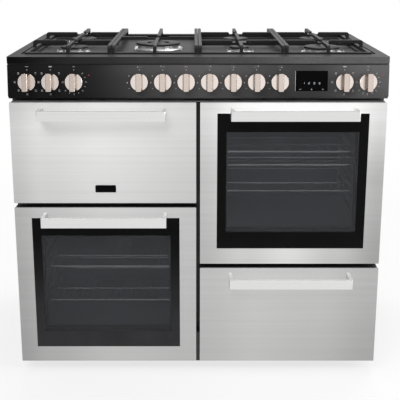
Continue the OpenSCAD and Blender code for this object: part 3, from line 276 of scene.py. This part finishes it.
# Panel: painted reflections and shade, dark at the left, lighter to the right and towards the top
material("panel_grey", (0.077, 0.0755, 0.077), 0.5, specular=0.06, scale=400, vary=0.08, grain=0.04,
         fades=[fade("X", -500, 500, (0.06, 0.15, 0.75, 1.0, 0.5, 1.1), (0.0, 0.2, 0.38, 0.5, 0.78, 0.95)),
                fade("Z", 790, 882, (0.82, 1.03, 1.25))])
material("vent_grey", (0.17, 0.17, 0.172), 0.5, specular=0.3, scale=120, vary=0.1, grain=0.05)
material("dark_paint", (0.02, 0.02, 0.021), 0.5, specular=0.3, scale=120, vary=0.15, grain=0.05)
material("oven_enamel", (0.26, 0.262, 0.28), 0.35, specular=0.4, scale=700, vary=0.35, grain=0.02)
material("zinc_steel", (0.5, 0.51, 0.53), 0.4, metallic=0.9, scale=60, vary=0.1, grain=0.02)
material("dark_element", (0.1, 0.095, 0.095), 0.45, metallic=0.7, scale=120, vary=0.2, grain=0.05)
material("warm_knob", (0.84, 0.76, 0.71), 0.2, metallic=1.0, scale=900, vary=0.015)
# Knob grips: darker copies of the disc's metal, painted shade on the grip's front and deeper painted shade on its
# flanks
material("knob_grip_painted_shade", (0.68, 0.585, 0.525), 0.24, metallic=1.0, scale=900, vary=0.02)
material("knob_flank_painted_shade", (0.5, 0.41, 0.355), 0.26, metallic=1.0, scale=900, vary=0.02)
material("burner_alloy", (0.88, 0.88, 0.89), 0.3, metallic=1.0, scale=160, vary=0.1, grain=0.04)
material("cast_black", (0.009, 0.009, 0.0094), 0.45, specular=0.28, scale=420, vary=0.25, grain=0.3)
material("chrome_wire", (0.85, 0.86, 0.88), 0.16, metallic=1.0, scale=80, vary=0.05)
material("door_glass", (0.05, 0.052, 0.059), 0.04, specular=0.25, scale=3, vary=0.08, alpha=0.25)
# Window border: black print with a painted reflection, brighter towards the bottom of the main door
material("glass_border", (0.005, 0.005, 0.0053), 0.15, specular=0.03, scale=20, vary=0.1,
         fades=[fade("Z", 80, 420, (6.5, 0.8))])
material("lamp_glass", (0.85, 0.83, 0.78), 0.12, specular=0.5, scale=60, vary=0.05)
material("display_black", (0.0016, 0.0016, 0.0018), 0.1, specular=0.03, scale=20, vary=0.2)
material("switch_plastic", (0.75, 0.73, 0.66), 0.5, scale=90, vary=0.06, grain=0.05)
material("terminal_plastic", (0.03, 0.03, 0.03), 0.55, specular=0.3, scale=200, vary=0.15, grain=0.1)
material("plug_ceramic", (0.85, 0.83, 0.78), 0.2, scale=60, vary=0.04)
material("tap_brass", (0.62, 0.47, 0.22), 0.35, metallic=1.0, scale=70, vary=0.15, grain=0.03)
material("seal_rubber", (0.03, 0.03, 0.03), 0.7, specular=0.2, scale=300, vary=0.15, grain=0.15)
material("print_white", (0.42, 0.415, 0.41), 0.5, scale=300, vary=0.05)
material("print_red", (0.26, 0.035, 0.03), 0.4, scale=300, vary=0.05)
material("digit_glow", (0.5, 0.54, 0.58), 0.4, scale=300, vary=0.02, glow=0.2)


# Meshes

def piece(name, verts, faces, finish, body, slot, bevel=0.0):
    """A mesh in millimetres, in the row frame, that rides on a body."""
    mesh = bpy.data.meshes.new(name)
    mesh.from_pydata([Vector(v) * MM for v in verts], [], faces)
    mesh.update()
    obj = bpy.data.objects.new(name, mesh)
    bpy.context.scene.collection.objects.link(obj)
    obj.data.materials.append(FINISHES[finish])
    if bevel:
        edge = obj.modifiers.new("edge", "BEVEL")
        edge.width = bevel * MM
        edge.segments = 2
        edge.limit_method = "ANGLE"
    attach(obj, body)


def box_data(low, high):
    verts = [(x, y, z) for x in (low[0], high[0]) for y in (low[1], high[1]) for z in (low[2], high[2])]
    faces = [(0, 1, 3, 2), (4, 6, 7, 5), (0, 4, 5, 1), (2, 3, 7, 6), (0, 2, 6, 4), (1, 5, 7, 3)]
    return verts, faces


def prism_data(outline, y0, y1, place=None):
    """An outline in X and Z made solid from y0 to y1, then moved by a matrix in millimetres."""
    count = len(outline)
    verts = [Vector((x, y, z)) for y in (y0, y1) for x, z in outline]
    if place is not None:
        verts = [place @ v for v in verts]
    faces = [tuple(range(count)), tuple(range(2 * count - 1, count - 1, -1))]
    faces += [(i, i + count, (i + 1) % count + count, (i + 1) % count) for i in range(count)]
    return verts, faces


def turned_data(profile, at, axis, steps):
    """A profile of (radius, height) turned about an axis from a point."""
    along = Vector(axis).normalized()
    side = along.orthogonal().normalized()
    other = along.cross(side)
    verts, faces = [], []
    for radius, height in profile:
        for k in range(steps):
            a = 2 * math.pi * k / steps
            verts.append(Vector(at) + side * radius * math.cos(a) + other * radius * math.sin(a) + along * height)
    for row in range(len(profile) - 1):
        for k in range(steps):
            n = (k + 1) % steps
            faces.append((row * steps + k, row * steps + n, (row + 1) * steps + n, (row + 1) * steps + k))
    faces.append(tuple(reversed(range(steps))))
    faces.append(tuple(range((len(profile) - 1) * steps, len(profile) * steps)))
    return verts, faces


def joined(parts):
    verts, faces = [], []
    for more_verts, more_faces in parts:
        start = len(verts)
        verts += list(more_verts)
        faces += [tuple(i + start for i in face) for face in more_faces]
    return verts, faces


def ring_outline(low, high, inner_low, inner_high):
    """Four boxes' outlines that make a rectangular frame in X and Z."""
    (x0, z0), (x3, z3), (x1, z1), (x2, z2) = low, high, inner_low, inner_high
    return [[(a, b), (c, b), (c, d), (a, d)]
            for a, b, c, d in ((x0, z0, x3, z1), (x0, z2, x3, z3), (x0, z1, x1, z2), (x2, z1, x3, z2))]


def disc(x, z, r, steps=14):
    return [(x + r * math.cos(2 * math.pi * k / steps), z + r * math.sin(2 * math.pi * k / steps))
            for k in range(steps)]


def bar(x0, z0, x1, z1, w):
    along = Vector((x1 - x0, z1 - z0)).normalized()
    side = Vector((-along.y, along.x)) * w / 2
    return [(x0 - side.x, z0 - side.y), (x1 - side.x, z1 - side.y), (x1 + side.x, z1 + side.y),
            (x0 + side.x, z0 + side.y)]


PANEL = Matrix.Translation(PANEL_ORIGIN) @ Matrix.Rotation(-PANEL_LEAN, 4, "X")


def on_panel(name, outlines, finish, slot, out=0.2, start=0.0):
    """Flat marks on the sloping panel: X, and the distance up from its lower edge."""
    parts = [prism_data(o, -out - start, -start, PANEL) for o in outlines]
    piece(name, *joined(parts), finish, "casing", slot)


# Finishes of the CAD pieces

def paint(name, *finishes, choose=None):
    """Gives a CAD node its finishes; choose returns a number from a face's middle in millimetres."""
    mesh = nodes[name].data
    mesh.materials.clear()
    for finish in finishes:
        mesh.materials.append(FINISHES[finish])
    for face in mesh.polygons:
        face.material_index = choose(face.center / MM) if choose else 0


def soften(name, width):
    """Rounds a CAD node's sharp edges a little."""
    weld = nodes[name].modifiers.new("weld", "WELD")
    weld.merge_threshold = 0.02 * MM
    edge = nodes[name].modifiers.new("edge", "BEVEL")
    edge.width = width * MM
    edge.segments = 2
    edge.limit_method = "ANGLE"
    edge.angle_limit = math.radians(35)
    edge.use_clamp_overlap = True


def handle_part(front):
    """Tells the upper faces of a handle, which get a painted highlight, from the rest."""
    top = FRONTS[front][2] - HANDLE_DROP
    return lambda c: int(c.z > top - 0.3)


def beside(burner, gap, angle):
    """A place in X and Y at a distance from a burner's rim."""
    x, y, r = burner
    return x + (r + gap) * math.cos(angle), y + (r + gap) * math.sin(angle)


def near_plug(c):
    """Distance in X and Y from the nearest spark plug."""
    return min(math.dist((c.x, c.y), beside(burner, PLUG_GAP, PLUG_ANGLE)) for burner in BURNERS)


paint("outer_panels", "black_enamel", "zinc_steel",
      choose=lambda c: int(abs(c.x) < SIDE_SHEET and c.y < REAR_PANEL + 0.5))
paint("base_tray", "zinc_steel")
paint("front_frame", "frame_grey")
paint("vent_rail", "vent_grey")
# The panel takes its painted reflections and shade
paint("control_panel", "panel_grey")
paint("clock_display", "display_black")
# The hob's front edge takes the painted shade and light
paint("hob_tray", "hob_enamel", "hob_edge_painted_light", choose=lambda c: int(c.y < FACE))
paint("burner_crowns", "burner_alloy")
paint("burner_caps", "cast_black")
paint("spark_plugs", "plug_ceramic", "zinc_steel", choose=lambda c: int(near_plug(c) < 1.1 and c.z > WELL + 3))
paint("gas_manifold", "tap_brass")
paint("oven_switches", "switch_plastic")
for oven in ("grill_cavity", "main_oven_cavity", "fan_oven_cavity", "fan_covers"):
    paint(oven, "oven_enamel")
paint("fan_motors", "zinc_steel")
paint("heating_elements", "dark_element")
for part in ("shelf_ladders", "main_oven_shelves", "fan_oven_shelves"):
    paint(part, "chrome_wire")
paint("oven_lamps", "lamp_glass", "zinc_steel",
      choose=lambda c: int(any(low < c.z < high for low, high in LAMP_SOCKETS)))
paint("grill_pan", "oven_enamel")
paint("door_seals", "seal_rubber")
for part in ("hinge_brackets", "drawer_rails", "main_oven_fan", "fan_oven_fan"):
    paint(part, "zinc_steel")
paint("supply_fittings", "terminal_plastic", "tap_brass", choose=lambda c: int(c.x > 0))
paint("levelling_feet", "seal_rubber", "zinc_steel", choose=lambda c: int(c.z > FOOT_PAD))
for door in ("grill", "main", "fan"):
    paint(door + "_door_face", "steel_" + door)
    paint(door + "_door_body", "dark_paint")
    # Upper faces of the handle get the painted highlight
    paint(door + "_door_handle", "steel_handle", "handle_top_painted_highlight", choose=handle_part(door))
paint("drawer_face", "steel_drawer")
paint("drawer_box", "dark_paint")
# Upper faces of the drawer handle get the painted highlight
paint("drawer_handle", "steel_handle", "handle_top_painted_highlight", choose=handle_part("drawer"))
for door in ("main", "fan"):
    paint(door + "_door_glass", "door_glass")
for support in ("left", "wok", "middle", "right"):
    paint("pan_support_" + support, "cast_black")


def knob_part(x):
    """Tells a knob's disc, the front and the flanks of its grip, and its spindle apart; the grip's front and flanks
    get painted shade.
    """
    def chosen(c):
        out = (PANEL.inverted() @ c).y
        if out > -KNOB_BACK:
            return 3
        if out > -KNOB_BACK - KNOB_DISC - 2:
            return 0
        return 1 if abs(c.x - x) < GRIP / 2 - 0.8 else 2
    return chosen


# Discs in their own metal, grips in painted shade
for name, x in KNOBS.items():
    paint(name, "warm_knob", "knob_grip_painted_shade", "knob_flank_painted_shade", "zinc_steel", choose=knob_part(x))

# Black border of the oven windows, with a painted reflection
for door, (middle, low, high) in PANES.items():
    _, window_low, window_high = WINDOWS[door]
    outlines = ring_outline((middle - PANE_HALF, low), (middle + PANE_HALF, high),
                            (middle - WINDOW_HALF, window_low), (middle + WINDOW_HALF, window_high))
    parts = [prism_data(o, FACE + 0.45, FACE + 0.6) for o in outlines]
    piece(door + "_door_border", *joined(parts), "glass_border", door + "_door", "door_glass")

# Gasket between the panel and the hob, and a strip in the lower end of the gap between the fronts: dark rubber pieces
# that close these gaps and stand in for the shade in them
seal_and_gap_shade = [box_data((-499.5, -268.5, 879.3), (499.5, -262, 882.2)), box_data((-494, -262, 870), (494, -261, 896))]
gap_shade_strip = box_data((-5.1, FACE + 1, 33.2), (5.1, RIB, 120))
piece("hob_seal_and_gap_shade", *joined(seal_and_gap_shade), "seal_rubber", "casing", "seal_rubber")
piece("centre_gap_shade_strip", *gap_shade_strip, "seal_rubber", "casing", "seal_rubber")

# Blank badge plate
plate = [(BADGE[0] + sx * (BADGE_HALF[0] - BADGE_CORNER) + BADGE_CORNER * math.cos(a),
          BADGE[1] + sz * (BADGE_HALF[1] - BADGE_CORNER) + BADGE_CORNER * math.sin(a))
         for sx, sz, start in ((1, 1, 0), (-1, 1, 90), (-1, -1, 180), (1, -1, 270))
         for a in (math.radians(start + 30 * k) for k in range(4))]
piece("badge_plate", *prism_data(plate, FACE - 1.6, FACE), "display_black", "grill_door", "display_black", bevel=0.5)


# Printed marks of the panel

def around(x, angle, radius):
    a = math.radians(angle)
    return x + radius * math.cos(a), KNOB_UP + radius * math.sin(a)


def hob_map(x, up, chosen):
    """Small plan of the hob with one burner filled."""
    spots = [(-4.5, -1.6), (-4.5, 1.6), (-1.5, 0), (1.5, 1.6), (1.5, -1.6), (4.5, 1.6), (4.5, -1.6)]
    return [disc(x + a, up + b, DOT_R if i == chosen else 0.5, 10) for i, (a, b) in enumerate(spots)]


def flame(x, up, size):
    return [[(x - 0.5 * size, up), (x - 0.25 * size, up - 0.5 * size), (x + 0.25 * size, up - 0.5 * size),
             (x + 0.5 * size, up), (x + 0.1 * size, up + 0.7 * size), (x - 0.1 * size, up + 0.3 * size)]]


def spark(x, up, size):
    return [bar(x - size * math.cos(a), up - size * math.sin(a), x + size * math.cos(a), up + size * math.sin(a), 0.6)
            for a in (math.radians(k * 60 + 30) for k in range(3))]


for index, x in enumerate(BURNER_KNOBS):
    outlines = hob_map(x, SIGN_UP, index) + [disc(x, DOT_UP, DOT_R)] + spark(*around(x, 150, 31.5), 1.9)
    outlines += flame(*around(x, 183, SIGN_RING), 3.4) + flame(*around(x, 212, SIGN_RING), 2.2)
    on_panel(f"marks_burner_{index + 1}", outlines, "print_white", "switch_plastic")


def mode_sign(x, up, kind):
    """A small oven sign: a square with a bar at its top or foot, or a ring for the fan."""
    outlines = [bar(x - 2, up - 2, x - 2, up + 2, 0.4), bar(x + 2, up - 2, x + 2, up + 2, 0.4),
                bar(x - 2, up + 2, x + 2, up + 2, 0.9 if kind & 1 else 0.4),
                bar(x - 2, up - 2, x + 2, up - 2, 0.9 if kind & 2 else 0.4)]
    if kind & 4:
        outlines.append(disc(x, up, 0.8, 8))
    return outlines


for index, x in enumerate(FUNCTION_KNOBS):
    outlines = [disc(x, DOT_UP, DOT_R), bar(x - 4, SIGN_UP, x + 4, SIGN_UP, 2.6 if index else 0.9)]
    for k in range(1, 8):
        outlines += mode_sign(*around(x, 90 - 45 * k, SIGN_RING), k)
    on_panel(f"marks_function_{index + 1}", outlines, "print_white", "switch_plastic")
for index, x in enumerate(HEAT_KNOBS):
    outlines = [disc(x, DOT_UP, DOT_R), bar(x - 3, SIGN_UP, x + 3, SIGN_UP, 0.9)]
    for k in range(9):
        angle = 45 - 22.5 * k
        inner, outer = STROKE_RING[0], STROKE_RING[1 + k % 2]
        outlines.append(bar(*around(x, angle, inner), *around(x, angle, outer), 0.9))
    on_panel(f"marks_heat_{index + 1}", outlines, "print_white", "switch_plastic")
    on_panel(f"marks_heat_lamp_{index + 1}", [disc(x + 39, KNOB_UP + 18, 1.5)], "print_red", "switch_plastic")


# Clock: four digits and three signs

SEGMENTS = {"0": "abcdef", "1": "bc", "2": "abged"}


def digit(x, up, sign):
    half, mid = DIGIT_W / 2, DIGIT_H / 2
    lines = {"a": (-half, mid, half, mid), "d": (-half, -mid, half, -mid), "g": (-half, 0, half, 0),
             "b": (half, 0, half, mid), "c": (half, -mid, half, 0), "f": (-half, 0, -half, mid),
             "e": (-half, -mid, -half, 0)}
    return [bar(x + a, up + b, x + c, up + d, DIGIT_STROKE) for a, b, c, d in (lines[s] for s in SEGMENTS[sign])]


clock_x, clock_up, clock_w, clock_h = CLOCK
outlines = []
for place, sign in ((-20.5, "1"), (-7, "2"), (7, "0"), (20.5, "0")):
    outlines += digit(clock_x + place, clock_up - 6, sign)
on_panel("clock_digits", outlines, "digit_glow", "display_black", start=0.5)
outlines = [bar(clock_x - 32, clock_up - 22, clock_x - 27, clock_up - 22, 0.8),
            bar(clock_x + 27, clock_up - 22, clock_x + 32, clock_up - 22, 0.8),
            bar(clock_x + 29.5, clock_up - 24.5, clock_x + 29.5, clock_up - 19.5, 0.8)]
outlines += [disc(clock_x, clock_up - 22, 1.6)]
on_panel("clock_signs", outlines, "print_white", "display_black", start=0.5)
# A painted highlight: a pale line along the left edge of the display
highlight_x = clock_x - clock_w / 2 - 0.7
on_panel("clock_edge_painted_highlight", [bar(highlight_x, clock_up - clock_h / 2, highlight_x, clock_up + clock_h / 2, 0.9)], "zinc_steel",
         "display_black", out=0.6)


# Screws and small metal parts

def screws(name, places, axis, body, r=3.6):
    """Screw heads that share a direction and a body."""
    head = [(r, 0), (r, 0.5), (r * 0.8, 1.3), (r * 0.4, 1.6), (r * 0.15, 1.6)]
    piece(name, *joined([turned_data(head, place, axis, 16) for place in places]), "zinc_steel", body, "zinc_steel")


places = [(x, REAR_PANEL, z) for x in (-470, -235, 0, 235, 470) for z in (48, 866)]
places += [(x, REAR_PANEL, z) for x in (-488, 488) for z in (250, 460, 670)]
screws("rear_panel_screws", places, (0, 1, 0), "casing")
for side, word in ((-1, "left"), (1, "right")):
    screws(f"side_screws_{word}", [(side * 500, 308, z) for z in (60, 460, 860)], (side, 0, 0), "casing")
for door, (middle, low, high) in FRONTS.items():
    if door != "drawer":
        heights = (low + 60, (low + high) / 2, high - 24)
        places = [(middle + sx * 228, LINER_BACK - 8, z) for sx in (-1, 1) for z in heights]
        screws(f"{door}_door_screws", places, (0, 1, 0), door + "_door", r=3.2)
for door, (middle, low, high) in WINDOWS.items():
    clips = [box_data((x - 16, LINER_BACK, z - 6), (x + 16, LINER_BACK + 1.2, z + 6))
             for x in (middle - 120, middle + 120) for z in (low - 7, high + 7)]
    piece(f"{door}_door_clips", *joined(clips), "zinc_steel", door + "_door", "zinc_steel", bevel=0.3)

# Louvre hoods on the rear panel
hoods = []
for side in (-1, 1):
    for row in range(5):
        top = LOUVRE_TOP - LOUVRE_PITCH * row
        section = [(REAR_PANEL, top + 2), (REAR_PANEL + 5, top - 3), (REAR_PANEL + 5, top - 4),
                   (REAR_PANEL, top + 0.8)]
        verts = [(side * COLUMN + end, y, z) for end in (-LOUVRE_HALF, LOUVRE_HALF) for y, z in section]
        faces = [(3, 2, 1, 0), (4, 5, 6, 7)] + [(i, (i + 1) % 4, (i + 1) % 4 + 4, i + 4) for i in range(4)]
        hoods.append((verts, faces))
piece("rear_louvres", *joined(hoods), "zinc_steel", "casing", "zinc_steel")

# Flame sensors beside the burners, and three studs behind the wok burner
sensors = [turned_data([(3, 0), (3, 2.5), (1.5, 3), (1.5, 9), (0.6, 10)],
                       (*beside(burner, SENSOR_GAP, SENSOR_ANGLE), WELL), (0, 0, 1), 14) for burner in BURNERS]
piece("flame_sensors", *joined(sensors), "burner_alloy", "casing", "burner_alloy")
studs = [turned_data([(2.2, 0), (2.2, 1.4), (1.2, 2.4)],
                     (*beside(BURNERS[WOK], 2.5, math.radians(k)), WELL + 2), (0, 0, 1), 12) for k in (62, 90, 118)]
piece("wok_studs", *joined(studs), "burner_alloy", "casing", "burner_alloy")

# Softened edges
soften("hob_tray", 1.2)
soften("control_panel", 0.5)
for name in nodes:
    if name.startswith("pan_support_"):
        soften(name, 1.4)
    elif name.startswith("knob_"):
        soften(name, 0.7)
    elif name.endswith("_handle") or name.endswith("_face"):
        soften(name, 0.6)


# Stage, light and camera

def area_light(name, place, target, size, power):
    data = bpy.data.lights.new(name, "AREA")
    data.shape = "RECTANGLE"
    data.size, data.size_y = size
    data.energy = power
    obj = bpy.data.objects.new(name, data)
    bpy.context.scene.collection.objects.link(obj)
    obj.location = place
    obj.rotation_euler = (Vector(target) - Vector(place)).to_track_quat("-Z", "Y").to_euler()


def floor():
    verts, faces = [(-9, -9, 0), (9, -9, 0), (9, 9, 0), (-9, 9, 0)], [(0, 1, 2, 3)]
    mesh = bpy.data.meshes.new("floor")
    mesh.from_pydata(verts, [], faces)
    obj = bpy.data.objects.new("floor", mesh)
    bpy.context.scene.collection.objects.link(obj)
    made = bpy.data.materials.new("floor")
    made.use_nodes = True
    tree = made.node_tree
    shader = tree.nodes["Principled BSDF"]
    shader.inputs["Base Color"].default_value = (0.86, 0.86, 0.86, 1)
    shader.inputs["Roughness"].default_value = 0.9
    shader.inputs["Specular IOR Level"].default_value = 0.0
    glow = tree.nodes.new("ShaderNodeEmission")
    glow.inputs["Color"].default_value = (1, 1, 1, 1)
    mix = tree.nodes.new("ShaderNodeMixShader")
    away = tree.nodes.new("ShaderNodeVectorMath")
    away.operation = "LENGTH"
    wire(tree, coordinate(tree), away.inputs[0])
    near = remap(tree, away.outputs["Value"], (0.6, 2.4), (0.72, 1.0))
    path = tree.nodes.new("ShaderNodeLightPath")
    seen = tree.nodes.new("ShaderNodeMath")
    seen.operation = "MAXIMUM"
    wire(tree, path.outputs["Is Camera Ray"], seen.inputs[0])
    wire(tree, path.outputs["Is Glossy Ray"], seen.inputs[1])
    wire(tree, product(tree, seen.outputs[0], near), mix.inputs["Fac"])
    wire(tree, shader.outputs["BSDF"], mix.inputs[1])
    wire(tree, glow.outputs["Emission"], mix.inputs[2])
    wire(tree, mix.outputs["Shader"], tree.nodes["Material Output"].inputs["Surface"])
    mesh.materials.append(made)


def world():
    made = bpy.data.worlds.new("studio")
    made.use_nodes = True
    tree = made.node_tree
    background = tree.nodes["Background"]
    split = tree.nodes.new("ShaderNodeSeparateXYZ")
    wire(tree, tree.nodes.new("ShaderNodeTexCoord").outputs["Generated"], split.inputs["Vector"])
    sides = ramp(tree, remap(tree, split.outputs["X"], (-1, 1), (0, 1)), (0.6, 0.15, 0.25, 0.5, 1.0),
                 (0.0, 0.25, 0.31, 0.36, 0.48))
    path = tree.nodes.new("ShaderNodeLightPath")
    level = tree.nodes.new("ShaderNodeMix")
    level.inputs["A"].default_value = 0.55
    wire(tree, path.outputs["Is Glossy Ray"], level.inputs["Factor"])
    wire(tree, sides, level.inputs["B"])
    shown = tree.nodes.new("ShaderNodeMath")
    shown.operation = "MAXIMUM"
    wire(tree, path.outputs["Is Camera Ray"], shown.inputs[0])
    wire(tree, level.outputs["Result"], shown.inputs[1])
    background.inputs["Color"].default_value = (1, 1, 1, 1)
    wire(tree, shown.outputs[0], background.inputs["Strength"])
    bpy.context.scene.world = made


# Handles stay out of the brushed fronts' reflections
for name in nodes:
    if name.endswith("_handle"):
        nodes[name].visible_glossy = False

floor()
world()
area_light("key", (-1.2, -2.8, 2.9), (0, 0, 0.7), (2.4, 1.4), 55)
area_light("side", (2.3, -1.3, 1.3), (0, -0.2, 0.7), (0.7, 1.3), 30)
area_light("top", (0.2, 0.9, 3.0), (0, 0, 0.9), (2.4, 0.8), 40)

camera = bpy.data.objects.new("camera", bpy.data.cameras.new("camera"))
bpy.context.scene.collection.objects.link(camera)
camera.location = (-0.009, -2.5, 1.18)
camera.rotation_euler = (math.radians(75.96), 0, 0)
camera.data.lens = 77.04
camera.data.sensor_width = 36
camera.data.shift_x = 0.013
camera.data.shift_y = -0.1
camera.data.clip_start = 0.05
bpy.context.scene.camera = camera
bpy.context.scene.view_settings.view_transform = "Standard"
